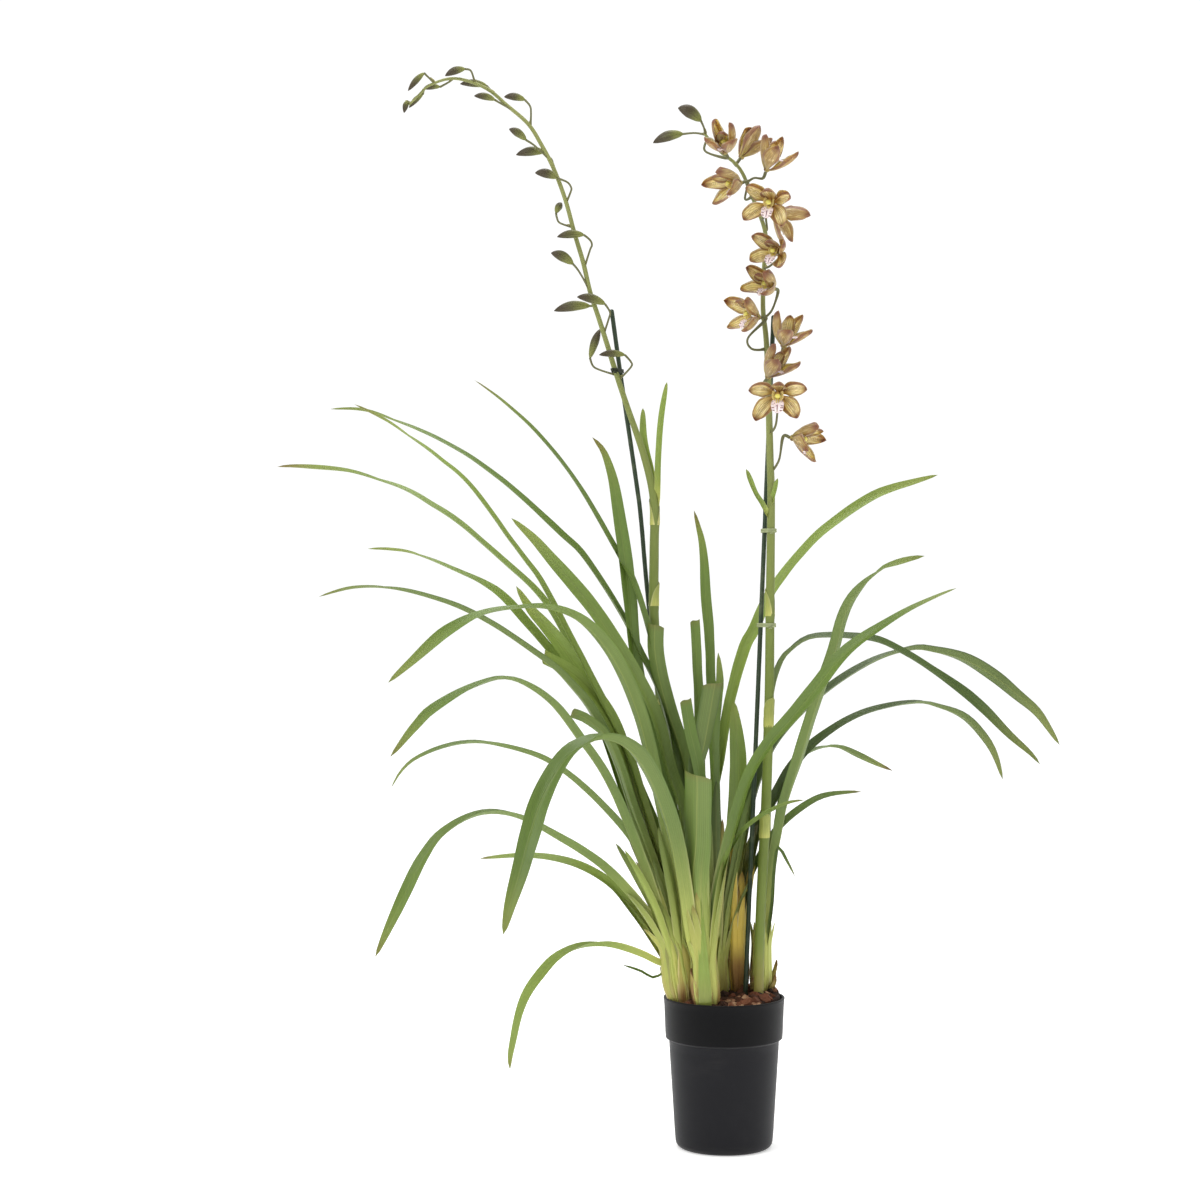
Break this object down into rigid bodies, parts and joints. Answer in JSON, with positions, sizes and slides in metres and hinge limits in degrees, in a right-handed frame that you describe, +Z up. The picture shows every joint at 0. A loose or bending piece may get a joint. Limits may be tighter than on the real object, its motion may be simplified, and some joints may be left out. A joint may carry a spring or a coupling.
{
  "type": "potted cymbidium orchid",
  "caption": "Cymbidium orchid in a plain nursery pot: arching strap leaves from clustered bulbs, a spike of open blooms and a nodding spike of buds, each tied to a stake.",
  "frame": {"origin": "centre of the pot's underside, on the plane that it stands on", "axes": "+Z up the pot's axis; front towards -Y; the spike of buds leans over to -X and the leaves reach furthest to -X"},
  "size_m": [0.8086, 0.275, 1.0835],
  "materials": {
    "pot": "charcoal moulded nursery plastic",
    "bark": "rough graded orchid bark",
    "leaf": "satin leathery strap leaf, paler at the foot",
    "spike": "smooth pale green stem and buds",
    "petal": "waxy olive brown petals with darker margins",
    "lip": "soft cream lip with maroon marks",
    "column": "waxy yellow column and anther cap",
    "stake": "dark green coated stake",
    "tie": "soft pale green plant tie"
  },
  "bodies": {
    "root": {"pot": "pot", "bark": "bark", "shoot_front_left": "leaf", "shoot_front_middle": "leaf", "shoot_rear_left": "leaf", "shoot_rear_middle": "leaf", "shoot_yellow": "leaf", "shoot_right": "leaf", "bud_spike": "spike", "bloom_spike": "spike", "bloom_01_petals": "petal", "bloom_01_lip": "lip", "bloom_01_column": "column", "bloom_02_petals": "petal", "bloom_02_lip": "lip", "bloom_02_column": "column", "bloom_03_petals": "petal", "bloom_03_lip": "lip", "bloom_03_column": "column", "bloom_04_petals": "petal", "bloom_04_lip": "lip", "bloom_04_column": "column", "bloom_05_petals": "petal", "bloom_05_lip": "lip", "bloom_05_column": "column", "bloom_06_petals": "petal", "bloom_06_lip": "lip", "bloom_06_column": "column", "bloom_07_petals": "petal", "bloom_07_lip": "lip", "bloom_07_column": "column", "bloom_08_petals": "petal", "bloom_08_lip": "lip", "bloom_08_column": "column", "bloom_09_petals": "petal", "bloom_09_lip": "lip", "bloom_09_column": "column", "bloom_10_petals": "petal", "bloom_10_lip": "lip", "bloom_10_column": "column", "bloom_11_petals": "petal", "bloom_11_lip": "lip", "bloom_11_column": "column", "bloom_12_petals": "petal", "bloom_12_lip": "lip", "bloom_12_column": "column", "bloom_13_petals": "petal", "bloom_13_lip": "lip", "bloom_13_column": "column", "stake_left": "stake", "stake_right": "stake", "tie_left": "tie", "tie_right_lower": "tie", "tie_right_upper": "tie"}
  },
  "joints": []
}
